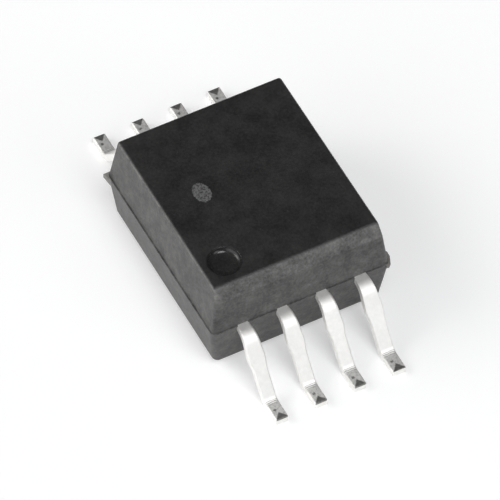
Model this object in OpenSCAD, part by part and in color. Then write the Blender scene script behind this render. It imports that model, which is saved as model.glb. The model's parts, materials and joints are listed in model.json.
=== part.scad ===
// Eight-lead stretched small-outline chip with an optically isolated circuit inside.
// Units are millimetres. Z = 0 is the board under the feet, X runs along the pin rows
// and Y across them. Pins 1 to 4 are on the -Y side from -X to +X, pins 5 to 8 come
// back along the +Y side.

/* [Moulded body] */
// Length of the body along a pin row, at the parting line
body_length = 5.81; // [5.6:0.01:6.4]
// Width of the body across the pin rows, at the parting line
body_width = 6.7; // [6.4:0.01:6.9]
// Height of the lower half of the body, from its underside to the parting line
lower_height = 1.59; // [1.3:0.01:1.8]
// Height of the upper half of the body, from the parting line to the top
upper_height = 1.59; // [1.3:0.01:1.8]
// Gap between the board and the underside of the body
standoff = 0.24; // [0.1:0.01:0.4]
// Slope of the walls away from the vertical
draft = 7; // [3:0.5:9]
// Step at the parting line, where the upper half is set in
parting_step = 0.045; // [0.02:0.005:0.08]
// Corner radius of the upper half, seen from above
upper_corner = 0.1; // [0.06:0.01:0.25]
// Corner radius of the lower half, seen from above
lower_corner = 0.2; // [0.1:0.01:0.3]
// Rounding of the top and bottom edges
edge_radius = 0.06; // [0.03:0.01:0.1]
// Height of the bevel above pins 1 to 4
bevel_height = 0.45; // [0.2:0.01:0.6]
// Depth of that bevel, measured on the top
bevel_depth = 0.24; // [0.15:0.01:0.4]

/* [Pin 1 recess] */
// Diameter of the recess in the top
recess_diameter = 1; // [0.6:0.01:1.2]
// Depth of the recess
recess_depth = 0.12; // [0.06:0.01:0.2]
// Distance from the recess's centre to the end wall, at the parting line
recess_from_end = 0.99; // [0.9:0.01:1.4]
// Distance from the recess's centre to the wall above pin 1, at the parting line
recess_from_side = 1.19; // [1.1:0.01:1.6]
// Radius between the floor and the wall of the recess
recess_fillet = 0.05; // [0.02:0.01:0.06]
// How far the recess's wall leans outwards
recess_slope = 0.03; // [0:0.01:0.1]

/* [Moulding marks] */
// How far the stub of the gate stands out of its end wall
gate_reach = 0.1; // [0.05:0.005:0.15]
// Length of that stub along the wall, from the corner behind pin 8
gate_length = 0.35; // [0.25:0.01:0.5]
// How far the stub of the air vent stands out of the other end wall
vent_reach = 0.1; // [0.05:0.005:0.15]
// Distance from the corner beside pin 4 to the tip of the vent's stub
vent_distance = 0.28; // [0.2:0.01:0.4]
// Thickness of both stubs, below the parting line
stub_thickness = 0.14; // [0.08:0.01:0.25]

/* [Leads] */
// Distance between neighbouring leads
pitch = 1.27; // [1.2:0.01:1.3]
// Distance over the toes of both rows
lead_span = 11.62; // [11.3:0.01:12]
// Thickness of the lead frame
lead_thickness = 0.25; // [0.15:0.01:0.3]
// Width of a lead where it leaves the body
neck_width = 0.39; // [0.3:0.01:0.45]
// Width over the sheared stubs of the dam bar
dam_width = 0.525; // [0.5:0.005:0.6]
// Width of a lead below the stubs
leg_width = 0.43; // [0.3:0.01:0.48]
// Width of a foot
foot_width = 0.41; // [0.3:0.01:0.48]
// Flat length of a foot
foot_length = 0.605; // [0.4:0.005:0.8]
// Angle of a leg below the horizontal
leg_angle = 50.5; // [45:0.5:60]
// Inner radius of the bend at the body
shoulder_radius = 0.35; // [0.2:0.01:0.4]
// Inner radius of the bend at the foot
heel_radius = 0.25; // [0.1:0.01:0.35]
// Distance from the body to the sheared stubs of the dam bar
dam_distance = 0.77; // [0.6:0.01:0.9]
// Length of those stubs, seen from above
dam_length = 0.07; // [0.04:0.01:0.15]

/* [Lead frame inside the body] */
// Isolating gap between the two paddles
paddle_gap = 0.8; // [0.6:0.01:0.9]
// Length of a paddle along the pin row
paddle_length = 4.3; // [4.25:0.01:4.5]
// Width of a paddle across the pin row
paddle_width = 1.35; // [1.3:0.01:1.4]
// Gap between a paddle and the fingers beside it
finger_gap = 0.25; // [0.15:0.01:0.3]
// Width of a finger's end, which is wider so that it locks into the moulding
finger_width = 0.75; // [0.6:0.01:0.9]
// Length of a finger's end
finger_length = 0.36; // [0.3:0.01:0.45]

/* [Dies] */
// Length of the input circuit
input_length = 1.6; // [1.4:0.01:1.7]
// Width of the input circuit
input_width = 0.95; // [0.7:0.01:1]
// Place of the input circuit along the paddle
input_place = 0.75; // [0.7:0.01:0.85]
// Length of the detector circuit
detector_length = 2; // [1.8:0.01:2.2]
// Width of the detector circuit
detector_width = 0.95; // [0.7:0.01:1]
// Place of the detector circuit along the paddle
detector_place = -0.55; // [-0.65:0.01:-0.4]
// Thickness of both circuits
circuit_thickness = 0.25; // [0.15:0.01:0.3]
// Side of the light-emitting diode
led_side = 0.3; // [0.2:0.01:0.35]
// Thickness of the light-emitting diode
led_thickness = 0.15; // [0.1:0.01:0.2]
// Place of the light-emitting diode along the paddle
led_place = -1.15; // [-1.2:0.01:-1.05]
// Distance from the diode to the edge of its paddle
led_from_edge = 0.1; // [0.05:0.01:0.15]
// Thickness of the glue under each die
glue_thickness = 0.02; // [0.01:0.005:0.03]
// How far the glue spreads past each die
glue_margin = 0.04; // [0.02:0.01:0.06]

/* [Light guide] */
// Radius of the clear silicone drop where it meets the lead frame
drop_radius = 1; // [0.9:0.01:1.02]
// Height of the drop above the lead frame
drop_height = 0.7; // [0.65:0.01:0.85]

/* [Bond wires] */
// Diameter of the gold wire
wire_diameter = 0.025; // [0.02:0.001:0.03]
// Diameter of the ball at the start of a wire
ball_diameter = 0.07; // [0.06:0.005:0.09]
// Height of that ball
ball_height = 0.02; // [0.015:0.001:0.03]
// Height of a wire's loop above the higher of its ends
loop_height = 0.14; // [0.1:0.01:0.2]
// Length of the flat stitch at the end of a wire
stitch_length = 0.05; // [0.03:0.01:0.07]
// Distance from a bond pad's centre to the edge of its die
pad_inset = 0.09; // [0.06:0.005:0.12]
// Distance from a circuit's end to the ground wire's stitch on the paddle
ground_reach = 0.36; // [0.34:0.01:0.4]

/* [Hidden] */

pins_per_side = 4;
corner_steps = 6; // flats in each rounded corner, seen from above
edge_steps = 3; // flats in each rounded edge
bend_steps = 8; // flats in each bend of a lead
wire_sides = 6;
wire_steps = 10; // rings along a wire's loop
round_sides = 64; // sides of what is truly round
past = 0.5; // how far a cutting shape runs past what it cuts

// Levels
body_bottom = standoff;
parting = standoff + lower_height;
body_top = parting + upper_height;
frame_top = parting;
frame_bottom = frame_top - lead_thickness;
glue_top = frame_top + glue_thickness;
circuit_top = glue_top + circuit_thickness;
led_top = glue_top + led_thickness;

// Half sizes of the body
lower_x = body_length / 2;
lower_y = body_width / 2;
upper_x = lower_x - parting_step;
upper_y = lower_y - parting_step;
slope = tan(draft);
bevel_start_y = upper_y - (upper_height - bevel_height) * slope; // wall at the foot of the bevel

// A lead's path, measured outwards from the middle of the body
middle_radii = shoulder_radius + heel_radius + lead_thickness; // both bends, at mid thickness
leg_drop = frame_top - lead_thickness - middle_radii * (1 - cos(leg_angle));
leg_length = leg_drop / sin(leg_angle);
heel_start = lead_span / 2 - foot_length;
shoulder_start = heel_start - middle_radii * sin(leg_angle) - leg_length * cos(leg_angle);
dam_start = lower_y + dam_distance;
dam_end = dam_start + dam_length;
leg_start = dam_end + (dam_width - leg_width) * 2; // the shear leaves sloping ends
leg_end = heel_start - (heel_radius + lead_thickness) * sin(leg_angle);

// Places inside the body, measured from the middle towards a pin row
paddle_edge = paddle_gap / 2;
paddle_back = paddle_edge + paddle_width;
finger_tip = paddle_back + finger_gap;
finger_root = finger_tip + finger_length;
circuit_y = paddle_edge + paddle_width / 2;
led_y = paddle_edge + led_from_edge + led_side / 2;
bond_y = finger_tip + finger_length / 2;

// Centres and sizes of the dies, seen from above
input_centre = [input_place, -circuit_y];
input_size = [input_length, input_width];
detector_centre = [detector_place, circuit_y];
detector_size = [detector_length, detector_width];
led_centre = [led_place, -led_y];
led_size = [led_side, led_side];
spread = [2 * glue_margin, 2 * glue_margin];

// Places of the bond pads, along the outer edge of each circuit
function along_pads(place, length, number) =
    place - length / 2 + pad_inset + (length - 2 * pad_inset) * number / (pins_per_side - 1);
function pin_x(column) = (column - (pins_per_side + 1) / 2) * pitch;
input_pads_y = -circuit_y - input_width / 2 + pad_inset;
detector_pads_y = circuit_y + detector_width / 2 - pad_inset;

// Each wire's ball and stitch, with the diode's own wire in the middle
led_wire = pins_per_side;
wires = [
    for (number = [0:pins_per_side - 2]) [
        [along_pads(input_place, input_length, number), input_pads_y, circuit_top],
        [pin_x(number + 1), -bond_y, frame_top]
    ],
    [
        [along_pads(input_place, input_length, pins_per_side - 1), input_pads_y, circuit_top],
        [input_place + input_length / 2 + ground_reach, input_pads_y, frame_top]
    ],
    [
        [along_pads(input_place, input_length, 0), -circuit_y + input_width / 2 - pad_inset, circuit_top],
        [led_place, -led_y, led_top]
    ],
    for (number = [0:pins_per_side - 2]) [
        [along_pads(detector_place, detector_length, number), detector_pads_y, circuit_top],
        [pin_x(number + 1), bond_y, frame_top]
    ],
    [
        [along_pads(detector_place, detector_length, pins_per_side - 1), detector_pads_y, circuit_top],
        [detector_place + detector_length / 2 + ground_reach, detector_pads_y, frame_top]
    ]
];

// Rounding of a rectangle: the points of one ring, anticlockwise from above
function ring(half_x, half_y, radius, z) = [
    for (corner = [0:3], i = [0:corner_steps])
        let (
            turn = (corner + i / corner_steps) * 90,
            side_x = corner == 0 || corner == 3 ? 1 : -1,
            side_y = corner < 2 ? 1 : -1
        )
        [
            side_x * (half_x - radius) + radius * cos(turn),
            side_y * (half_y - radius) + radius * sin(turn),
            z
        ]
];

// A skin over a stack of rings that all have the same number of points
module skin(rings) {
    count = len(rings[0]);
    last = len(rings) - 1;
    polyhedron(
        points = [for (r = rings) each r],
        faces = concat(
            [[for (i = [0:count - 1]) i]],
            [
                for (k = [0:last - 1], i = [0:count - 1])
                    let (j = (i + 1) % count)
                    [k * count + i, (k + 1) * count + i, (k + 1) * count + j, k * count + j]
            ],
            [[for (i = [count - 1:-1:0]) last * count + i]]
        )
    );
}

function arc(centre, radius, from, to) = [
    for (i = [0:bend_steps])
        let (turn = from + (to - from) * i / bend_steps)
        centre + radius * [cos(turn), sin(turn)]
];

// Both mould halves with their draft, the step between them and the rounded edges
module drafted_block() {
    lower_inset = (lower_height - edge_radius) * slope;
    upper_inset = (upper_height - edge_radius) * slope;
    bottom_rings = [
        for (i = [0:edge_steps])
            let (turn = 90 * i / edge_steps, inset = lower_inset + edge_radius * (1 - sin(turn)))
            ring(lower_x - inset, lower_y - inset, lower_corner,
                body_bottom + edge_radius * (1 - cos(turn)))
    ];
    top_rings = [
        for (i = [0:edge_steps])
            let (turn = 90 * i / edge_steps, inset = upper_inset + edge_radius * (1 - cos(turn)))
            ring(upper_x - inset, upper_y - inset, upper_corner,
                body_top - edge_radius * (1 - sin(turn)))
    ];
    skin(concat(
        bottom_rings,
        [ring(lower_x, lower_y, lower_corner, parting)],
        [ring(upper_x, upper_y, upper_corner, parting)],
        top_rings
    ));
}

// What the bevel takes off above pins 1 to 4, as a prism along X
module bevel_cut() {
    foot = [-bevel_start_y, body_top - bevel_height];
    head = foot + [bevel_depth, bevel_height];
    along = (head - foot) / norm(head - foot) * past;
    rotate([90, 0, 90])
        linear_extrude(body_length + 2 * past, center = true)
            polygon([foot - along, head + along, [foot[0] - along[0], head[1] + along[1]]]);
}

// Round pin 1 recess: a flat floor, a curved foot to its wall and a sloping wall
module recess() {
    rim = recess_diameter / 2;
    wall_bottom = body_top - recess_depth + recess_fillet;
    floor_radius = rim - recess_fillet - recess_slope;
    translate([recess_from_end - lower_x, recess_from_side - lower_y, 0])
        rotate_extrude($fn = round_sides)
            polygon(concat(
                [[0, body_top - recess_depth]],
                [
                    for (i = [0:bend_steps])
                        let (turn = 90 * i / bend_steps)
                        [
                            floor_radius + recess_fillet * sin(turn),
                            wall_bottom - recess_fillet * cos(turn)
                        ]
                ],
                [[rim, body_top], [rim, body_top + past], [0, body_top + past]]
            ));
}

// Stub of resin left where the gate was broken off, at the corner behind pin 8
module gate_stub() {
    translate([-lower_x, lower_y, parting - stub_thickness])
        linear_extrude(stub_thickness)
            polygon([
                [lower_corner, -gate_length],
                [0, -gate_length],
                [-gate_reach, 0],
                [lower_corner, 0],
                [2 * lower_corner, -lower_corner]
            ]);
}

// Stub of resin from the air vent, on the end wall beside pin 4
module vent_stub() {
    translate([lower_x, -lower_y, parting - stub_thickness])
        linear_extrude(stub_thickness)
            polygon([
                [-lower_corner, lower_corner],
                [-lower_corner / 2, lower_corner / 4],
                [vent_reach, vent_distance],
                [0, 2 * vent_distance],
                [-lower_corner, 2 * vent_distance]
            ]);
}

module mould_body() {
    color([0.14, 0.14, 0.14])
        difference() {
            union() {
                drafted_block();
                gate_stub();
                vent_stub();
            }
            bevel_cut();
            recess();
            moulded_in();
        }
}

// Everything that the moulding closes round
module moulded_in() {
    for (pin = [1:2 * pins_per_side])
        lead(pin);
    input_circuit();
    input_glue();
    detector_circuit();
    detector_glue();
    led();
    led_glue();
    drop();
    for (wire = wires)
        loop(wire);
}

// The side view of a lead, bent from one strip, as a prism along X.
// Its first coordinate runs outwards from the middle of the body.
module side_view(width) {
    shoulder = [shoulder_start, frame_bottom - shoulder_radius];
    heel = [heel_start, lead_thickness + heel_radius];
    up = 90;
    down = 270;
    rotate([90, 0, -90])
        linear_extrude(width, center = true)
            polygon(concat(
                [[0, frame_top]],
                arc(shoulder, shoulder_radius + lead_thickness, up, up - leg_angle),
                arc(heel, heel_radius, down - leg_angle, down),
                [[lead_span / 2, lead_thickness], [lead_span / 2, 0]],
                arc(heel, heel_radius + lead_thickness, down, down - leg_angle),
                arc(shoulder, shoulder_radius, up - leg_angle, up),
                [[0, frame_bottom]]
            ));
}

// One side of a lead seen from above: half width and distance from the middle
function lead_edge(tip) = [
    [foot_width / 2, lead_span / 2 + past],
    [foot_width / 2, heel_start],
    [leg_width / 2, leg_end],
    [leg_width / 2, leg_start],
    [dam_width / 2, dam_end],
    [dam_width / 2, dam_start],
    [neck_width / 2, lower_y],
    [neck_width / 2, finger_root],
    [tip / 2, finger_root],
    [tip / 2, finger_tip]
];

// The lead seen from above, as a prism along Z, with an end of the given width
module top_view(tip) {
    right = lead_edge(tip);
    left = [for (i = [len(right) - 1:-1:0]) [-right[i][0], right[i][1]]];
    mirror([0, 1, 0])
        linear_extrude(2 * frame_top, center = true)
            polygon(concat(right, left));
}

module paddle_view() {
    paddle_end = (pins_per_side - 1) / 2 * pitch;
    translate([-paddle_end - paddle_length / 2, -paddle_back, -frame_top])
        cube([paddle_length, paddle_width, 2 * frame_top]);
    translate([-neck_width / 2, -finger_root, -frame_top])
        cube([neck_width, finger_root - paddle_back + paddle_width / 2, 2 * frame_top]);
}

// Pins 4 and 5 carry a paddle, and the others end in a finger
module lead(pin) {
    near_side = pin <= pins_per_side;
    column = near_side ? pin : 2 * pins_per_side + 1 - pin;
    carries_paddle = column == pins_per_side;
    color([0.78, 0.78, 0.76])
        mirror([0, near_side ? 0 : 1, 0]) // the far row is the near row's mirror image
            translate([(column - (pins_per_side + 1) / 2) * pitch, 0, 0])
                intersection() {
                    side_view(2 * paddle_length);
                    if (carries_paddle) {
                        union() {
                            top_view(neck_width);
                            paddle_view();
                        }
                    } else {
                        top_view(finger_width);
                    }
                }
}

// A die or a layer of glue, centred on a place on the lead frame
module slab(place, side, bottom, height) {
    translate([place[0] - side[0] / 2, place[1] - side[1] / 2, bottom])
        cube([side[0], side[1], height]);
}

module input_circuit() {
    color([0.45, 0.47, 0.52])
        slab(input_centre, input_size, glue_top, circuit_thickness);
}

module detector_circuit() {
    color([0.45, 0.47, 0.52])
        slab(detector_centre, detector_size, glue_top, circuit_thickness);
}

module led() {
    color([0.6, 0.3, 0.25])
        slab(led_centre, led_size, glue_top, led_thickness);
}

module input_glue() {
    color([0.85, 0.85, 0.82])
        slab(input_centre, input_size + spread, frame_top, glue_thickness);
}

module detector_glue() {
    color([0.85, 0.85, 0.82])
        slab(detector_centre, detector_size + spread, frame_top, glue_thickness);
}

module led_glue() {
    color([0.85, 0.85, 0.82])
        slab(led_centre, led_size + spread, frame_top, glue_thickness);
}

// Clear silicone drop that carries the diode's light across the gap to the detector
module drop() {
    sphere_radius = (drop_radius * drop_radius + drop_height * drop_height) / (2 * drop_height);
    translate([led_place, 0, frame_top])
        intersection() {
            translate([0, 0, drop_height - sphere_radius])
                sphere(sphere_radius, $fn = round_sides);
            cylinder(r = 2 * drop_radius, h = 2 * drop_height);
        }
}

module light_guide() {
    color([0.8, 0.85, 0.9, 0.5])
        difference() {
            drop();
            led();
            led_glue();
            detector_circuit();
            detector_glue();
            loop(wires[led_wire]);
        }
}

// A ring of a wire's skin: flat side down when the wire runs level
function wire_ring(centre, side, lift, radius) = [
    for (i = [0:wire_sides - 1])
        let (turn = 360 * i / wire_sides)
        centre + radius * (side * cos(turn) + lift * sin(turn))
];

function bezier(p, t) =
    p[0] * pow(1 - t, 3) + p[1] * 3 * t * pow(1 - t, 2) + p[2] * 3 * t * t * (1 - t) + p[3] * pow(t, 3);

function bezier_slope(p, t) =
    (p[1] - p[0]) * pow(1 - t, 2) + (p[2] - p[1]) * 2 * t * (1 - t) + (p[3] - p[2]) * t * t;

// A gold wire from a ball on the first point to a flat stitch on the second
module loop(ends) {
    from = ends[0];
    to = ends[1];
    radius = wire_diameter / 2;
    flat = radius * sin(60); // from the wire's middle to its flat side
    reach = [to[0] - from[0], to[1] - from[1], 0];
    ahead = reach / norm(reach);
    side = [-ahead[1], ahead[0], 0];
    up = [0, 0, 1];
    start = from + up * ball_height * 1.5;
    land = to + up * flat - ahead * stitch_length / 2;
    rise = max(from[2], to[2]) + loop_height * 1.6;
    path = [
        start,
        [start[0], start[1], rise],
        [land[0], land[1], land[2]] - ahead * norm(reach) * 0.35,
        land
    ];
    ball = [
        wire_ring(from, side, -ahead, ball_diameter * 0.42),
        wire_ring(from + up * ball_height * 0.4, side, -ahead, ball_diameter / 2),
        wire_ring(from + up * ball_height, side, -ahead, ball_diameter * 0.35)
    ];
    arch = [
        for (i = [0:wire_steps])
            let (
                t = i / wire_steps,
                slope_there = bezier_slope(path, t),
                level = slope_there * ahead / norm(slope_there),
                climb = slope_there * up / norm(slope_there)
            )
            wire_ring(bezier(path, t), side, up * level - ahead * climb, radius)
    ];
    stitch = [wire_ring(land + ahead * stitch_length, side, up, radius)];
    skin(concat(ball, arch, stitch));
}

module bond_wire(number) {
    color([0.85, 0.68, 0.3])
        loop(wires[number]);
}

mould_body();
lead(1);  // lead_1
lead(2);  // lead_2
lead(3);  // lead_3
lead(4);  // lead_4
lead(5);  // lead_5
lead(6);  // lead_6
lead(7);  // lead_7
lead(8);  // lead_8
input_circuit();
led();
detector_circuit();
input_glue();
led_glue();
detector_glue();
light_guide();
bond_wire(0);  // wire_input_supply
bond_wire(1);  // wire_input_plus
bond_wire(2);  // wire_input_minus
bond_wire(3);  // wire_input_ground
bond_wire(4);  // wire_led
bond_wire(5);  // wire_output_supply
bond_wire(6);  // wire_output_plus
bond_wire(7);  // wire_output_minus
bond_wire(8);  // wire_output_ground
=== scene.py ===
import bmesh
import bpy
import json
from math import cos, pi, radians, sin, tan
from mathutils import Matrix, Vector

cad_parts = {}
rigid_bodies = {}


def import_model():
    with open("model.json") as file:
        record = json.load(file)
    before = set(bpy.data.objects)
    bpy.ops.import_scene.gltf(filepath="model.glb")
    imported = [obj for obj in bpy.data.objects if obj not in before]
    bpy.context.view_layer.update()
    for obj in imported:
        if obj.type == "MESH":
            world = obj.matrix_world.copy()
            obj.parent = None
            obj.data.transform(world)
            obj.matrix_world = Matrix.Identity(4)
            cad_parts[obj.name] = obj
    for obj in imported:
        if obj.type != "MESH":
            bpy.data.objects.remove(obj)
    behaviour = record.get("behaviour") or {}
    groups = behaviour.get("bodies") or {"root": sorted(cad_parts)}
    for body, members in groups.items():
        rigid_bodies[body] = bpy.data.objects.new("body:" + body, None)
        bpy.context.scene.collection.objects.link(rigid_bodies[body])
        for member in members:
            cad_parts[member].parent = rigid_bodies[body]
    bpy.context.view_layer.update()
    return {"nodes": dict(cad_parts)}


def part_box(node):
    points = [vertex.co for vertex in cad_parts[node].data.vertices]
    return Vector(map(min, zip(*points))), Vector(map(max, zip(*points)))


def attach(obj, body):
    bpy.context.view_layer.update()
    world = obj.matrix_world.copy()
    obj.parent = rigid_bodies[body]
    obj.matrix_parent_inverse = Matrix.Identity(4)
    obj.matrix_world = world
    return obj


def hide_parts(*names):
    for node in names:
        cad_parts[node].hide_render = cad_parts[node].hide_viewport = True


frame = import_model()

mm = 0.001    # everything is modelled in millimetres and brought to metres when a piece is finished
near = 0.001  # millimetres, for selecting by place
smoothUnder = 40  # degrees between faces, under which they are shaded as one


def newPiece(name, kind, **settings):  # a primitive, ready in edit mode
    bpy.ops.object.select_all(action="DESELECT")
    getattr(bpy.ops.mesh, f"primitive_{kind}_add")(**settings)
    piece = bpy.context.object
    piece.name = piece.data.name = name
    bpy.ops.object.transform_apply(location=True, rotation=True, scale=True)
    bpy.ops.object.mode_set(mode="EDIT")
    bpy.ops.mesh.select_mode(type="FACE")
    return piece


def pick(kind, test):  # selects the edges or faces that pass the test, which gets the middle and the item
    mesh = bmesh.from_edit_mesh(bpy.context.object.data)
    bpy.ops.mesh.select_mode(type=kind)
    bpy.ops.mesh.select_all(action="DESELECT")
    for item in {"EDGE": mesh.edges, "FACE": mesh.faces}[kind]:
        middle = sum((vertex.co for vertex in item.verts), Vector()) / len(item.verts)
        if test(middle, item):
            item.select_set(True)
    mesh.select_flush_mode()
    bmesh.update_edit_mesh(bpy.context.object.data)


def push(x=0.0, y=0.0, z=0.0):  # extrudes the selected faces by this much
    bpy.ops.mesh.extrude_region_move(TRANSFORM_OT_translate={"value": (x, y, z)})


def stretch(x=1.0, y=1.0, z=1.0, about=(0.0, 0.0, 0.0)):
    bpy.ops.transform.resize(value=(x, y, z), center_override=about)


def useModifier(piece, kind, **settings):  # adds a modifier and applies it at once
    modifier = piece.modifiers.new(kind, kind)
    for key, value in settings.items():
        setattr(modifier, key, value)
    bpy.ops.object.select_all(action="DESELECT")
    piece.select_set(True)
    bpy.context.view_layer.objects.active = piece
    bpy.ops.object.modifier_apply(modifier=modifier.name)


def objectMode():
    bpy.ops.object.mode_set(mode="OBJECT")


# smooth shading, metres, the material, and the piece's place in the frame
def finishPiece(piece, material, nodeName):
    bpy.ops.object.select_all(action="DESELECT")
    piece.select_set(True)
    bpy.context.view_layer.objects.active = piece
    bpy.ops.object.shade_smooth_by_angle(angle=radians(smoothUnder))
    useModifier(piece, "WEIGHTED_NORMAL", keep_sharp=True)
    piece.scale = (mm, mm, mm)
    bpy.ops.object.transform_apply(location=True, rotation=True, scale=True)
    piece.data.materials.clear()
    piece.data.materials.append(material)
    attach(piece, "root")
    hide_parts(nodeName)


def copyPiece(source, name, mirrored=False, shift=0.0):
    piece = source.copy()
    piece.data = source.data.copy()
    piece.name = piece.data.name = name
    bpy.context.collection.objects.link(piece)
    piece.location = (shift, 0, 0)
    if mirrored:
        piece.scale = (1, -1, 1)
    bpy.ops.object.select_all(action="DESELECT")
    piece.select_set(True)
    bpy.context.view_layer.objects.active = piece
    bpy.ops.object.transform_apply(location=True, rotation=True, scale=True)
    if mirrored:
        bpy.ops.object.mode_set(mode="EDIT")
        bpy.ops.mesh.select_all(action="SELECT")
        bpy.ops.mesh.normals_make_consistent(inside=False)
        objectMode()
    return piece


camera = {
    "lens": 506.6,         # millimetres, on a 36 mm sensor
    "turn": -28.635,       # degrees, 0 looks along +Y
    "height": 52.525,      # degrees above the board
    "roll": 1.206,         # degrees
    "distance": 203.3,     # millimetres
    "target": (-0.376, -0.851, 1.5),
}

turn, height, roll = (radians(camera[k]) for k in ("turn", "height", "roll"))
back = Vector((sin(turn) * cos(height), -cos(turn) * cos(height), sin(height)))
right = Vector((cos(turn), sin(turn), 0))
up = back.cross(right)
lensRight = right * cos(roll) + up * sin(roll)
lensUp = up * cos(roll) - right * sin(roll)
cameraData = bpy.data.cameras.new("camera")
cameraData.lens = camera["lens"]
cameraData.sensor_width = 36
cameraData.clip_start, cameraData.clip_end = 0.01, 20
cameraObject = bpy.data.objects.new("camera", cameraData)
place = (Vector(camera["target"]) + back * camera["distance"]) * mm
turned = Matrix((lensRight, lensUp, back)).transposed().to_4x4()
cameraObject.matrix_world = Matrix.Translation(place) @ turned
bpy.context.collection.objects.link(cameraObject)
bpy.context.scene.camera = cameraObject
bpy.context.scene.view_settings.view_transform = "Standard"

light = {
    "key": {"place": (-0.40, 0.27, 0.36), "size": 0.34, "power": 0.95, "tone": (1.0, 0.985, 0.96)},
    "front": {"place": (0.0, -0.30, 0.52), "size": 0.34, "power": 1.80, "tone": (0.98, 0.99, 1.0)},
    "fill": {"place": (0.22, -0.47, 0.30), "size": 0.34, "power": 0.50, "tone": (0.97, 0.985, 1.0)},
    "skyTone": (0.98, 0.99, 1.0, 1),
    "skyTop": 0.18,
    "skyLeft": 1.45,
    "skyRight": 0.10,
    "skyClimb": (0.66, 0.82),    # the sine of the height where the room starts to dim, and where it ends
    "skyAcross": (-0.80, -0.40),  # the same across the room, from the left
}

for name in ("key", "front", "fill"):  # soft boxes at the back left, above the front and front right
    lamp = light[name]
    lampData = bpy.data.lights.new(name, "AREA")
    lampData.shape = "DISK"
    lampData.size = lamp["size"]
    lampData.energy = lamp["power"]
    lampData.color = lamp["tone"]
    lampObject = bpy.data.objects.new(name, lampData)
    lampObject.location = lamp["place"]
    lampObject.rotation_euler = Vector(lamp["place"]).to_track_quat("Z", "Y").to_euler()
    bpy.context.collection.objects.link(lampObject)


def node(tree, kind, **values):
    made = tree.nodes.new("ShaderNode" + kind)
    for name, value in values.items():
        if hasattr(made, name):
            setattr(made, name, value)
    return made


def feed(tree, target, source):  # a link where the source is a socket, and otherwise a value
    if isinstance(source, bpy.types.NodeSocket):
        tree.links.new(source, target)
    elif source is not None:
        target.default_value = source


def maths(tree, operation, a, b=None, c=None, clamp=False):
    made = node(tree, "Math", operation=operation, use_clamp=clamp)
    for socket, source in zip(made.inputs, (a, b, c)):
        feed(tree, socket, source)
    return made.outputs[0]


def remap(tree, value, fromLow, fromHigh, toLow=0.0, toHigh=1.0, smooth=True):
    made = node(tree, "MapRange", interpolation_type="SMOOTHSTEP" if smooth else "LINEAR")
    for socket, source in zip(made.inputs, (value, fromLow, fromHigh, toLow, toHigh)):
        feed(tree, socket, source)
    return made.outputs[0]


def blendColours(tree, factor, a, b, how="MIX"):
    made = node(tree, "Mix", data_type="RGBA", blend_type=how)
    feed(tree, made.inputs[0], factor)
    feed(tree, made.inputs[6], a)
    feed(tree, made.inputs[7], b)
    return made.outputs[2]


def noise(tree, where, scale, detail=2.0, rough=0.5):
    made = node(tree, "TexNoise")
    feed(tree, made.inputs["Vector"], where)
    feed(tree, made.inputs["Scale"], scale)
    feed(tree, made.inputs["Detail"], detail)
    feed(tree, made.inputs["Roughness"], rough)
    return made.outputs[0]


def inMillimetres(tree):  # Object coordinates, in millimetres
    coordinates = node(tree, "TexCoord")
    scaled = node(tree, "VectorMath", operation="SCALE")
    feed(tree, scaled.inputs[0], coordinates.outputs["Object"])
    scaled.inputs["Scale"].default_value = 1 / mm
    return scaled.outputs[0]


def apart(tree, vector):
    made = node(tree, "SeparateXYZ")
    feed(tree, made.inputs[0], vector)
    return made.outputs


def newMaterial(name):
    material = bpy.data.materials.new(name)
    material.use_nodes = True
    tree = material.node_tree
    shader = tree.nodes["Principled BSDF"]
    return material, tree, shader


def newGroup(name, inputs, outputs):
    tree = bpy.data.node_groups.new(name, "ShaderNodeTree")
    for label, kind, value in inputs:
        socket = tree.interface.new_socket(label, in_out="INPUT", socket_type="NodeSocket" + kind)
        if value is not None:
            socket.default_value = value
    for label, kind in outputs:
        tree.interface.new_socket(label, in_out="OUTPUT", socket_type="NodeSocket" + kind)
    return tree, tree.nodes.new("NodeGroupInput").outputs, tree.nodes.new("NodeGroupOutput").inputs


def useGroup(tree, group, **values):
    made = node(tree, "Group")
    made.node_tree = group
    for name, value in values.items():
        feed(tree, made.inputs[name], value)
    return made.outputs


def bump(tree, height, strength, distance):
    made = node(tree, "Bump")
    feed(tree, made.inputs["Height"], height)
    made.inputs["Strength"].default_value = strength
    made.inputs["Distance"].default_value = distance
    return made.outputs[0]


def grey(level, warm=0.0):  # a near-neutral colour, with a little warmth
    return (level * (1 + warm), level, level * (1 - warm), 1)


def buildGrain():  # cast grain: a soft height, and how bright the surface is there
    tree, ins, outs = newGroup("grain",
        [("Place", "Vector", None), ("Scale", "Float", 20.0), ("Variation", "Float", 1.0)],
        [("Height", "Float"), ("Tone", "Float")])
    fine = noise(tree, ins["Place"], ins["Scale"], 3, 0.6)
    broad = noise(tree, ins["Place"], maths(tree, "MULTIPLY", ins["Scale"], 0.12), 2, 0.5)
    feed(tree, outs["Height"], maths(tree, "MULTIPLY_ADD", broad, 0.3, fine))
    tone = maths(tree, "ADD", maths(tree, "SUBTRACT", fine, 0.5), maths(tree, "SUBTRACT", broad, 0.5))
    feed(tree, outs["Tone"], maths(tree, "MULTIPLY_ADD", tone, ins["Variation"], 1.0))
    return tree


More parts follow.
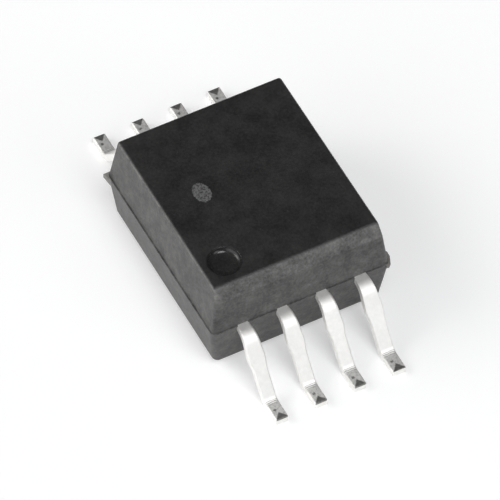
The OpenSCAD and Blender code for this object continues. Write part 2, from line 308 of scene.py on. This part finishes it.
def buildSpecks():  # small round specks, of which only some cells have one
    tree, ins, outs = newGroup("specks",
        [("Place", "Vector", None), ("Scale", "Float", 12.0),
         ("Size", "Float", 0.2), ("Share", "Float", 0.3)],
        [("Mask", "Float")])
    cells = node(tree, "TexVoronoi", feature="F1")
    feed(tree, cells.inputs["Vector"], ins["Place"])
    feed(tree, cells.inputs["Scale"], ins["Scale"])
    pickOne = apart(tree, cells.outputs["Color"])[0]
    here = maths(tree, "LESS_THAN", pickOne, ins["Share"])
    spot = remap(tree, cells.outputs["Distance"], ins["Size"], 0.0)
    feed(tree, outs["Mask"], maths(tree, "MULTIPLY", here, spot))
    return tree


def buildPatches():  # coarse uneven patches, for eroded resin
    tree, ins, outs = newGroup("patches",
        [("Place", "Vector", None), ("Scale", "Float", 5.0), ("Depth", "Float", 0.3)],
        [("Tone", "Float")])
    patch = remap(tree, noise(tree, ins["Place"], ins["Scale"], 3, 0.65), 0.32, 0.68, -1.0, 1.0)
    feed(tree, outs["Tone"], maths(tree, "MULTIPLY_ADD", patch, ins["Depth"], 1.0))
    return tree


grainGroup = buildGrain()
speckGroup = buildSpecks()
patchGroup = buildPatches()
print("shared effects are built")


body = {
    "draft": 7,             # degrees
    "step": 0.045,          # the upper half is set in by this much
    "stubReach": 0.1,
    "lowerCorner": 0.2,
    "upperCorner": 0.1,
    "edge": 0.09,           # rounding of the top and of the bevel
    "underEdge": 0.06,
    "ledgeEdge": 0.018,     # rounding of the parting line's outer edge
    "ledgeSink": 0.006,     # the ledge lies this much under the top of the leads
    "bevelHeight": 0.45,
    "bevelDepth": 0.24,
    "cornerSteps": 6,
}

recess = {
    "fromEnd": 0.99,
    "fromSide": 1.19,
    "radius": 0.5,
    "depth": 0.13,
    "lean": 0.01,
    "foot": 0.15,
    "lip": 0.015,
    "lipTurns": (30, 60, 85),       # degrees round the lip and the foot, where a ring of the mesh lies
    "footTurns": (75, 50, 25, 0),
    "floorInset": 0.05,
    "sides": 96,
}

dot = {
    "place": (-1.349, 0.328),
    "halfWidth": 0.258,     # along the pin row
    "halfLength": 0.356,
    "raggedScale": 14,
    "ragged": 0.3,
    "mottleScale": 16,
}

low, high = (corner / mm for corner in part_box("mould_body"))
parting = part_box("lead_1")[1].z / mm
ledge = parting - body["ledgeSink"]
lowerX, lowerY = high.x - body["stubReach"], high.y
upperX, upperY = lowerX - body["step"], lowerY - body["step"]
slope = tan(radians(body["draft"]))


# one mould half, from the ledge's level to the far side, open at the ledge
def makeHalf(halfX, halfY, radius, far):
    bpy.ops.mesh.select_mode(type="FACE")
    stretch(halfX, halfY, 1, (0, 0, ledge))
    bpy.ops.mesh.bevel(offset=radius, segments=body["cornerSteps"], affect="VERTICES")
    bpy.ops.mesh.select_mode(type="FACE")
    push(z=far - ledge)
    inset = abs(far - ledge) * slope
    stretch(1 - inset / halfX, 1 - inset / halfY, 1, (0, 0, far))
    pick("FACE", lambda m, f: abs(m.z - ledge) < near)
    bpy.ops.mesh.delete(type="ONLY_FACE")


def makeBody():
    piece = newPiece("mouldedBody", "plane", size=2, location=(0, 0, ledge))
    makeHalf(lowerX, lowerY, body["lowerCorner"], low.z)
    bpy.ops.mesh.primitive_plane_add(size=2, location=(0, 0, ledge))
    makeHalf(upperX, upperY, body["upperCorner"], high.z)
    pick("EDGE", lambda m, e: abs(m.z - ledge) < near and e.is_boundary)
    bpy.ops.mesh.fill()  # the ledge between the halves

    rise = high.z - ledge
    footY = -(upperY - (rise - body["bevelHeight"]) * slope)  # the bevel above pins 1 to 4
    bpy.ops.mesh.select_all(action="SELECT")
    bpy.ops.mesh.bisect(
        plane_co=(0, footY, high.z - body["bevelHeight"]),
        plane_no=(0, -body["bevelHeight"], body["bevelDepth"]),
        use_fill=True, clear_outer=True, threshold=1e-5)

    def atLevel(level):
        return lambda vertex: abs(vertex.co.z - level) < near

    def onBevel(vertex):
        return abs((vertex.co.y - footY) * body["bevelHeight"]
                   - (vertex.co.z - high.z + body["bevelHeight"]) * body["bevelDepth"]) < near

    def onRim(vertex):  # the outer ring of the ledge
        flat = Vector((max(abs(vertex.co.x) - lowerX + body["lowerCorner"], 0),
                       max(abs(vertex.co.y) - lowerY + body["lowerCorner"], 0)))
        return atLevel(ledge)(vertex) and flat.length > body["lowerCorner"] - 0.01

    pick("EDGE", lambda m, e: all(map(atLevel(low.z), e.verts)))
    bpy.ops.mesh.bevel(offset=body["underEdge"], segments=3, affect="EDGES")
    pick("EDGE", lambda m, e: all(map(onRim, e.verts)) and len(e.link_faces) == 2
         and abs(e.link_faces[0].normal.dot(e.link_faces[1].normal)) < 0.5)
    bpy.ops.mesh.bevel(offset=body["ledgeEdge"], segments=3, affect="EDGES")
    pick("EDGE", lambda m, e: all(map(atLevel(high.z), e.verts))
         or (all(map(onBevel, e.verts)) and m.z > high.z - body["bevelHeight"] + 0.01))
    bpy.ops.mesh.bevel(offset=body["edge"], segments=4, affect="EDGES")

    # the recess is cut into the top
    pick("FACE", lambda m, f: abs(m.z - high.z) < near and f.normal.z > 0.99)
    bpy.ops.mesh.delete(type="ONLY_FACE")
    middle = Vector((recess["fromEnd"] - lowerX, recess["fromSide"] - lowerY, high.z))
    bpy.ops.mesh.primitive_circle_add(
        vertices=recess["sides"], radius=recess["radius"] + recess["lip"], location=middle)
    pick("EDGE", lambda m, e: e.is_boundary or e.is_wire)
    bpy.ops.mesh.fill()
    lip, foot = recess["lip"], recess["foot"]
    floorRadius = recess["radius"] - recess["lean"] - foot
    nowRadius, nowZ = recess["radius"] + lip, high.z
    pick("EDGE", lambda m, e: all(abs((v.co - middle).length - nowRadius) < near for v in e.verts))
    rings = [(recess["radius"] + lip * (1 - sin(a)), high.z - lip * (1 - cos(a)))
             for a in map(radians, recess["lipTurns"])]
    rings += [(floorRadius + foot * sin(a), high.z - recess["depth"] + foot * (1 - cos(a)))
              for a in map(radians, recess["footTurns"])]
    for radius, z in rings:  # each is one more ring of the recess's lip, wall or foot
        bpy.ops.mesh.extrude_edges_move(TRANSFORM_OT_translate={"value": (0, 0, z - nowZ)})
        stretch(radius / nowRadius, radius / nowRadius, 1, (middle.x, middle.y, z))
        nowRadius, nowZ = radius, z
    bpy.ops.mesh.edge_face_add()
    bpy.ops.mesh.inset(thickness=recess["floorInset"])
    bpy.ops.mesh.select_all(action="SELECT")
    bpy.ops.mesh.normals_make_consistent(inside=False)
    objectMode()
    return piece


bodyPiece = makeBody()
print("body: faces", len(bodyPiece.data.polygons))


stubs = {
    "thickness": 0.14,
    "gateLength": 0.35,
    "gateDrop": 0.30,        # how far the torn gate hangs under its thin part
    "gateTaper": 0.30,
    "ventThickness": 0.11,
    "ventOutline": (         # from the corner, into the body
        (0.17, -0.24), (0.17, 0.04), (0.09, 0.055), (0.01, -0.02),
        (-0.095, -0.27), (-0.1, -0.45), (0.03, -0.58)),
    "underLedge": 0.002,
    "edge": 0.02,
}


# torn resin at a corner, hanging from the ledge
def makeStub(name, outline, thickness, drop=0.0, about=None):
    piece = newPiece(name, "circle", vertices=len(outline), radius=1, fill_type="NGON",
                     location=(0, 0, ledge - stubs["underLedge"]))
    mesh = bmesh.from_edit_mesh(piece.data)
    for vertex, (x, y) in zip(mesh.verts, outline):
        vertex.co.x, vertex.co.y = x, y
    bmesh.update_edit_mesh(piece.data)
    bpy.ops.mesh.select_all(action="SELECT")
    push(z=-thickness)
    if drop:
        push(z=-drop)
        stretch(stubs["gateTaper"], stubs["gateTaper"], 1, (*about, 0))
    bpy.ops.mesh.select_all(action="SELECT")
    bpy.ops.mesh.normals_make_consistent(inside=False)
    objectMode()
    useModifier(piece, "BEVEL", width=stubs["edge"], segments=2, limit_method="ANGLE", harden_normals=True)
    return piece


corner = body["lowerCorner"]
gateStub = makeStub("gateStub", [
    (-lowerX + corner, lowerY - stubs["gateLength"]), (-lowerX, lowerY - stubs["gateLength"]),
    (-lowerX - body["stubReach"], lowerY), (-lowerX + corner, lowerY),
    (-lowerX + 2 * corner, lowerY - corner)], stubs["thickness"], stubs["gateDrop"],
    (-lowerX + corner / 2, lowerY - corner))
ventFlash = makeStub("ventFlash", [(lowerX - x, -lowerY - y) for x, y in stubs["ventOutline"]],
                     stubs["ventThickness"])
print("stubs are modelled")


lead = {
    "thickness": 0.25,
    "neckWidth": 0.39,
    "damWidth": 0.525,
    "legWidth": 0.43,
    "footWidth": 0.41,
    "footLength": 0.605,
    "legAngle": 50.5,
    "shoulderRadius": 0.35,
    "heelRadius": 0.25,
    "damFromBody": 0.77,
    "damLength": 0.07,
    "damSlope": 2,          # length of the sheared end against its step in width
    "fingerWidth": 0.75,
    "fingerLength": 0.36,
    "paddleWidth": 1.35,
    "bendSteps": 10,
    "edge": 0.055,          # rounding of the stamped edges
    "edgeOver": 28,         # degrees between faces, over which an edge is rounded
    "pitch": 1.27,
}

leadLow, leadHigh = (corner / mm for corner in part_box("lead_1"))
toe = -leadLow.y
thick, legTurn = lead["thickness"], radians(lead["legAngle"])
frameBottom = parting - thick
bothBends = lead["shoulderRadius"] + lead["heelRadius"] + thick
legLength = (parting - thick - bothBends * (1 - cos(legTurn))) / sin(legTurn)
heelStart = toe - lead["footLength"]
shoulderStart = heelStart - bothBends * sin(legTurn) - legLength * cos(legTurn)
damStart = lowerY + lead["damFromBody"]
damEnd = damStart + lead["damLength"]
legStart = damEnd + (lead["damWidth"] - lead["legWidth"]) * lead["damSlope"]
legEnd = heelStart - (lead["heelRadius"] + thick) * sin(legTurn)
widths = [(lowerY, lead["neckWidth"]), (damStart, lead["damWidth"]), (damEnd, lead["damWidth"]),
          (legStart, lead["legWidth"]), (legEnd, lead["legWidth"]), (heelStart, lead["footWidth"])]


def widthAt(y):  # a lead's width at a distance from the middle of the body
    for (y0, w0), (y1, w1) in zip(widths, widths[1:]):
        if y <= y1:
            return w0 + (w1 - w0) * max(y - y0, 0) / (y1 - y0)
    return widths[-1][1]


# one strip, drawn from its end inside the body, out over the shoulder and down to the toe
def makeLead(name, x, innerEnd, innerLow, innerHigh, innerLength):
    mid = parting - thick / 2
    piece = newPiece(name, "plane", size=1, location=(0, 0, 0), rotation=(pi / 2, 0, 0))
    stretch(innerHigh - innerLow, 1, thick)
    bpy.ops.transform.translate(value=((innerLow + innerHigh) / 2, -innerEnd, mid))
    push(y=-innerLength)
    push()
    k = lead["neckWidth"] / (innerHigh - innerLow)
    stretch(k, 1, 1)
    bpy.ops.transform.translate(value=(x - k * (innerLow + innerHigh) / 2, 0, 0))
    y, width = innerEnd + innerLength, lead["neckWidth"]

    def widen():
        nonlocal width
        stretch(widthAt(y) / width, 1, 1, (x, 0, 0))
        width = widthAt(y)

    for stop in (lowerY, shoulderStart):
        push(y=y - stop)
        y = stop
        widen()

    def bend(radius, centre, turn, entry):
        nonlocal y
        for step in range(1, lead["bendSteps"] + 1):
            bpy.ops.mesh.spin(steps=1, angle=-turn / lead["bendSteps"], center=centre, axis=(1, 0, 0))
            y = entry(abs(turn) * step / lead["bendSteps"])
            widen()

    shoulderMiddle = lead["shoulderRadius"] + thick / 2
    bend(shoulderMiddle, (0, -shoulderStart, frameBottom - lead["shoulderRadius"]), legTurn,
         lambda a: shoulderStart + shoulderMiddle * sin(a))
    heelMiddle = lead["heelRadius"] + thick / 2
    for stop in (damStart, damEnd, legStart, heelStart - heelMiddle * sin(legTurn)):
        along = (stop - y) / cos(legTurn)
        push(y=-along * cos(legTurn), z=-along * sin(legTurn))
        y = stop
        widen()
    bend(heelMiddle, (0, -heelStart, thick + lead["heelRadius"]), -legTurn,
         lambda a: heelStart - heelMiddle * sin(legTurn - a))
    push(y=heelStart - toe)
    bpy.ops.mesh.select_all(action="SELECT")
    bpy.ops.mesh.remove_doubles(threshold=1e-5)
    bpy.ops.mesh.normals_make_consistent(inside=False)
    objectMode()
    useModifier(piece, "BEVEL", width=lead["edge"], segments=4, limit_method="ANGLE",
                angle_limit=radians(lead["edgeOver"]), harden_normals=True)
    return piece


half = lead["fingerWidth"] / 2
fingerTip = -leadHigh.y
fingerLead = makeLead("fingerLead", 0, fingerTip, -half, half, lead["fingerLength"])
paddleLow, paddleHigh = (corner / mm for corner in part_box("lead_4"))
outerX = 1.5 * lead["pitch"]
paddleLead = makeLead("lead4", outerX, -paddleHigh.y, paddleLow.x, -paddleLow.x, lead["paddleWidth"])
leads = {}
for pin in range(1, 9):
    column = pin if pin < 5 else 9 - pin
    if column == 4:
        leads[pin] = paddleLead if pin == 4 else copyPiece(paddleLead, "lead5", mirrored=True)
    else:
        leads[pin] = copyPiece(fingerLead, f"lead{pin}", mirrored=pin > 4,
                               shift=(column - 2.5) * lead["pitch"])
bpy.data.objects.remove(fingerLead)
print("leads are modelled, faces each", len(paddleLead.data.polygons))


compound = {
    "tone": 0.0135,          # the black of the moulding compound, on the top
    "litWallTone": 0.070,       # the walls, painted lighter than the top as if the side light fell on them: painted light
    "litBevelTone": 0.108,      # the bevel and the edge roundings near the top, painted lighter still: painted light
    "toneWarm": 0.025,
    "roughness": 0.50,
    "polish": 0.29,          # how much smoother the recess is
    "grainScale": 13.0,      # grains in a millimetre
    "grainTone": 1.7,
    "grainDepth": 0.011,
    "patchScale": 4.5,
    "patchDepth": 0.22,
    "grainRough": 0.12,      # how far the grain changes the roughness
    "flatFrom": (0.60, 0.97),    # upward normals between which the wall's lighter painted-light tone turns into the top's
    "bevelFrom": (0.22, 0.40),   # and the wall's into the bevel's, lighter still: painted light
    "speckScale": 6.0,
    "speckSize": 0.16,
    "speckShare": 0.22,
    "speckTone": 0.05,
    "speckStrength": 0.5,
    "markTone": 0.125,
}


def makeCompound():
    material, tree, shader = newMaterial("mouldCompound")
    where = inMillimetres(tree)
    z = apart(tree, where)[2]
    grain = useGroup(tree, grainGroup, Place=where, Scale=compound["grainScale"],
                     Variation=compound["grainTone"])
    specks = useGroup(tree, speckGroup, Place=where, Scale=compound["speckScale"],
                      Size=compound["speckSize"], Share=compound["speckShare"])["Mask"]
    fromDot = node(tree, "VectorMath", operation="SUBTRACT")
    feed(tree, fromDot.inputs[0], where)
    fromDot.inputs[1].default_value = (*dot["place"], high.z)
    inDot = node(tree, "VectorMath", operation="MULTIPLY")
    feed(tree, inDot.inputs[0], fromDot.outputs[0])
    inDot.inputs[1].default_value = (1 / dot["halfWidth"], 1 / dot["halfLength"], 2)
    dotRadius = node(tree, "VectorMath", operation="LENGTH")
    feed(tree, dotRadius.inputs[0], inDot.outputs[0])
    ragged = maths(tree, "MULTIPLY_ADD", noise(tree, where, dot["raggedScale"], 2), dot["ragged"],
                   dotRadius.outputs["Value"])
    mottled = remap(tree, noise(tree, where, dot["mottleScale"], 3, 0.7), 0.36, 0.56, 0.25, 1.0)
    printed = maths(tree, "MULTIPLY", remap(tree, ragged, 1.22, 1.08), mottled)

    upward = apart(tree, node(tree, "NewGeometry").outputs["Normal"])[2]
    flat = remap(tree, upward, *compound["flatFrom"])
    flat = maths(tree, "MULTIPLY", flat, remap(tree, z, high.z - 0.5, high.z - 0.2))
    patches = useGroup(tree, patchGroup, Place=where, Scale=compound["patchScale"],
                       Depth=compound["patchDepth"])["Tone"]
    # the mask of the bevel and the tilted roundings near the top, which are painted lighter: painted light
    paintedLight = maths(tree, "MULTIPLY", remap(tree, upward, *compound["bevelFrom"]),
                 remap(tree, z, high.z - 0.6, high.z - 0.4))
    # the walls and the bevel are painted lighter than the top, for the side light on them: painted light
    wall = blendColours(tree, paintedLight, grey(compound["litWallTone"], compound["toneWarm"]),
                        grey(compound["litBevelTone"], compound["toneWarm"]))
    wall = blendColours(tree, 1.0, wall, patches, "MULTIPLY")
    fromRecess = node(tree, "VectorMath", operation="DISTANCE")
    feed(tree, fromRecess.inputs[0], where)
    fromRecess.inputs[1].default_value = (
        recess["fromEnd"] - lowerX, recess["fromSide"] - lowerY, high.z)
    polished = remap(tree, fromRecess.outputs["Value"], recess["radius"] + 0.05, recess["radius"] + 0.01)
    base = blendColours(tree, maths(tree, "MAXIMUM", flat, polished), wall,
                        grey(compound["tone"], compound["toneWarm"]))
    base = blendColours(tree, 1.0, base, grain["Tone"], "MULTIPLY")
    base = blendColours(tree, maths(tree, "MULTIPLY", specks, compound["speckStrength"]), base,
                        grey(compound["speckTone"]))
    base = blendColours(tree, printed, base, grey(compound["markTone"]))
    feed(tree, shader.inputs["Base Color"], base)

    rough = maths(tree, "MULTIPLY_ADD", maths(tree, "SUBTRACT", grain["Tone"], 1.0),
                  compound["grainRough"], compound["roughness"])
    rough = maths(tree, "MULTIPLY_ADD", polished, -compound["polish"], rough)
    feed(tree, shader.inputs["Roughness"], rough)
    height = maths(tree, "MULTIPLY", grain["Height"], maths(tree, "SUBTRACT", 1.0, polished))
    feed(tree, shader.inputs["Normal"], bump(tree, height, 1.0, compound["grainDepth"] * mm))
    return material


tin = {
    "colour": (0.93, 0.92, 0.90, 1),
    # the dark colour painted on the feet's tops, for shade and reflections of the dim room above
    "paintedShadeColour": (0.20, 0.20, 0.19, 1),
    "roughness": 0.60,
    "grainScale": 7.0,
    "grainDepth": 0.0012,
    "heelMark": 0.08,        # half the length of the band that the bending tool marked
    "heelPitch": 0.055,
    # the heel ridges are real bumps; their tops are also painted darker: painted shade
    "heelShade": 0.55,
    "heelRelief": 3.0,
    # a dark triangle on each toe, painted reflection: its reach, slant and strength
    "toeShadeReach": 0.27,
    "toeSlant": 1.25,
    "toeShade": 0.9,
    # a dark spot at the same place on every foot: painted reflection
    "spotShade": 0.8,
    "mottleScale": 13,
    "mottleDepth": 0.30,     # how much darker the foot's top is in patches: painted shade
    "wobbleScale": 9,
    "wobble": 0.06,
    "spot": (0.36, -0.06, 0.065),  # the painted dark spot, a painted reflection: from the toe, across, and its radius
}


def makeTin():
    material, tree, shader = newMaterial("mattTin")
    where = inMillimetres(tree)
    x, y, _ = apart(tree, where)
    fromToe = maths(tree, "SUBTRACT", toe, maths(tree, "ABSOLUTE", y))
    halfPitch = lead["pitch"] / 2
    across = maths(tree, "WRAP", maths(tree, "SUBTRACT", x, halfPitch), halfPitch, -halfPitch)
    upward = remap(tree, apart(tree, node(tree, "NewGeometry").outputs["Normal"])[2], 0.2, 0.6)
    grain = useGroup(tree, grainGroup, Place=where, Scale=tin["grainScale"],
                     Variation=0.15)
    wobble = maths(tree, "MULTIPLY_ADD", noise(tree, where, tin["wobbleScale"], 2), tin["wobble"], fromToe)

    foot = remap(tree, fromToe, lead["footLength"] + 0.06, lead["footLength"] - 0.05)
    foot = maths(tree, "MULTIPLY", foot, upward)
    fromHeel = maths(tree, "ABSOLUTE", maths(tree, "SUBTRACT", wobble, lead["footLength"] + 0.07))
    ridge = maths(tree, "SINE", maths(tree, "MULTIPLY", wobble, 2 * pi / tin["heelPitch"]))
    ridge = maths(tree, "MULTIPLY", ridge, remap(tree, fromHeel, tin["heelMark"], tin["heelMark"] / 2))
    ridge = maths(tree, "MULTIPLY", ridge, upward)
    # the dark triangle at the toe: painted reflection
    toeShadeMask = maths(tree, "MULTIPLY_ADD", maths(tree, "ABSOLUTE", across), tin["toeSlant"], wobble)
    toeShadeMask = maths(tree, "MULTIPLY", remap(tree, toeShadeMask, tin["toeShadeReach"] + 0.05, tin["toeShadeReach"] - 0.02), upward)
    spotAlong, spotAcross, spotRadius = tin["spot"]
    along = maths(tree, "SUBTRACT", maths(tree, "MULTIPLY_ADD", noise(tree, where, 17, 2), 0.12, fromToe),
                  spotAlong + 0.06)
    aside = maths(tree, "SUBTRACT", across, spotAcross)
    spot = maths(tree, "SQRT", maths(tree, "ADD", maths(tree, "MULTIPLY", along, along),
                                     maths(tree, "MULTIPLY", aside, aside)))
    spot = maths(tree, "MULTIPLY", remap(tree, spot, spotRadius, spotRadius / 3), foot)

    mottled = remap(tree, noise(tree, where, tin["mottleScale"], 3, 0.7), 0.40, 0.70, 0.0, tin["mottleDepth"])
    # the feet's tops are painted darker in patches, with dark heel lines, a dark toe triangle and a dark
    # spot: painted shade and reflection
    paintedLight = maths(tree, "MULTIPLY", foot, mottled)
    # the tops of the heel ridges are painted darker: painted shade
    ridgeTop = maths(tree, "MAXIMUM", ridge, 0.0)
    paintedLight = maths(tree, "ADD", paintedLight, maths(tree, "MULTIPLY", ridgeTop, tin["heelShade"]))
    paintedLight = maths(tree, "ADD", paintedLight, maths(tree, "MULTIPLY", toeShadeMask, tin["toeShade"]))
    paintedLight = maths(tree, "ADD", paintedLight, maths(tree, "MULTIPLY", spot, tin["spotShade"]), clamp=True)
    base = blendColours(tree, paintedLight, tin["colour"], tin["paintedShadeColour"])
    feed(tree, shader.inputs["Base Color"], blendColours(tree, 1.0, base, grain["Tone"], "MULTIPLY"))
    shader.inputs["Metallic"].default_value = 1.0
    feed(tree, shader.inputs["Roughness"],
         maths(tree, "MULTIPLY_ADD", maths(tree, "SUBTRACT", grain["Tone"], 1.0), 0.5, tin["roughness"]))
    relief = maths(tree, "MULTIPLY_ADD", ridge, tin["heelRelief"], grain["Height"])
    feed(tree, shader.inputs["Normal"], bump(tree, relief, 1.0, tin["grainDepth"] * mm))
    return material


def makePlain(name, colour, roughness, scale, variation=0.3, metallic=0.0, through=0.0):
    material, tree, shader = newMaterial(name)
    where = inMillimetres(tree)
    grain = useGroup(tree, grainGroup, Place=where, Scale=scale, Variation=variation)
    feed(tree, shader.inputs["Base Color"], blendColours(tree, 1.0, colour, grain["Tone"], "MULTIPLY"))
    shader.inputs["Metallic"].default_value = metallic
    shader.inputs["Transmission Weight"].default_value = through
    feed(tree, shader.inputs["Roughness"],
         maths(tree, "MULTIPLY_ADD", maths(tree, "SUBTRACT", grain["Tone"], 1.0), 0.2, roughness))
    feed(tree, shader.inputs["Normal"], bump(tree, grain["Height"], 0.6, 0.001 * mm))
    return material


compoundMaterial, tinMaterial = makeCompound(), makeTin()
finishPiece(bodyPiece, compoundMaterial, "mould_body")
tornResin = makePlain("tornResin", (0.20, 0.195, 0.18, 1), 0.6, 9.0, 0.8)
finishPiece(gateStub, tornResin, "mould_body")
finishPiece(ventFlash, tornResin, "mould_body")
for pin, piece in leads.items():
    finishPiece(piece, tinMaterial, f"lead_{pin}")

sealed = {
    makePlain("silicon", (0.16, 0.17, 0.21, 1), 0.2, 12.0): ("input_circuit", "detector_circuit"),
    makePlain("ledCrystal", (0.35, 0.09, 0.06, 1), 0.25, 20.0): ("led",),
    makePlain("dieGlue", (0.72, 0.71, 0.66, 1), 0.4, 30.0): ("input_glue", "led_glue", "detector_glue"),
    makePlain("clearSilicone", (0.93, 0.95, 0.97, 1), 0.08, 2.0, 0.05, through=0.9): ("light_guide",),
    makePlain("goldWire", (0.94, 0.72, 0.34, 1), 0.22, 40.0, 0.1, metallic=1.0):
        tuple(name for name in frame["nodes"] if name.startswith("wire_")),
}
for material, names in sealed.items():
    for name in names:
        for materialSlot in frame["nodes"][name].material_slots:
            materialSlot.material = material
print("materials are built")


stage = {
    "floorTone": 0.70,
    "floorLift": 0.35,
    "floorSize": 3.0,
}


def seenDirectly(tree):  # 1 for the camera, for gloss and through glass
    path = node(tree, "LightPath")
    seen = maths(tree, "ADD", path.outputs["Is Camera Ray"], path.outputs["Is Glossy Ray"], clamp=True)
    return maths(tree, "ADD", seen, path.outputs["Is Transmission Ray"], clamp=True)


def makeFloor():
    floor = newPiece("floor", "plane", size=stage["floorSize"], location=(0, 0, 0))
    objectMode()
    material, tree, shader = newMaterial("paleFloor")
    where = inMillimetres(tree)
    tone = maths(tree, "MULTIPLY_ADD", noise(tree, where, 0.05, 2), 0.01, stage["floorTone"])
    shade = node(tree, "CombineColor")
    for socket in shade.inputs:
        if socket.name in ("Red", "Green", "Blue"):
            feed(tree, socket, tone)
    feed(tree, shader.inputs["Base Color"], shade.outputs[0])
    shader.inputs["Roughness"].default_value = 0.9
    shader.inputs["Specular IOR Level"].default_value = 0.2
    shader.inputs["Emission Color"].default_value = (1, 1, 1, 1)
    feed(tree, shader.inputs["Emission Strength"],
         maths(tree, "MULTIPLY", seenDirectly(tree), stage["floorLift"]))
    floor.data.materials.append(material)


def makeWorld():  # a pale room, brighter on the left and dimmer overhead, white to the camera
    world = bpy.data.worlds.new("room")
    bpy.context.scene.world = world
    world.use_nodes = True
    tree = world.node_tree
    background = tree.nodes["Background"]
    direction = node(tree, "TexCoord").outputs["Generated"]
    across, _, climb = apart(tree, direction)
    side = remap(tree, across, *light["skyAcross"], light["skyLeft"], light["skyRight"])
    sky = remap(tree, climb, *light["skyClimb"], side, light["skyTop"])
    path = node(tree, "LightPath")
    strength = node(tree, "Mix", data_type="FLOAT")
    feed(tree, strength.inputs[0], path.outputs["Is Camera Ray"])
    feed(tree, strength.inputs[2], sky)
    feed(tree, strength.inputs[3], 1.0)
    feed(tree, background.inputs["Strength"], strength.outputs[0])
    background.inputs["Color"].default_value = light["skyTone"]


makeFloor()
makeWorld()
print("floor and room are built")
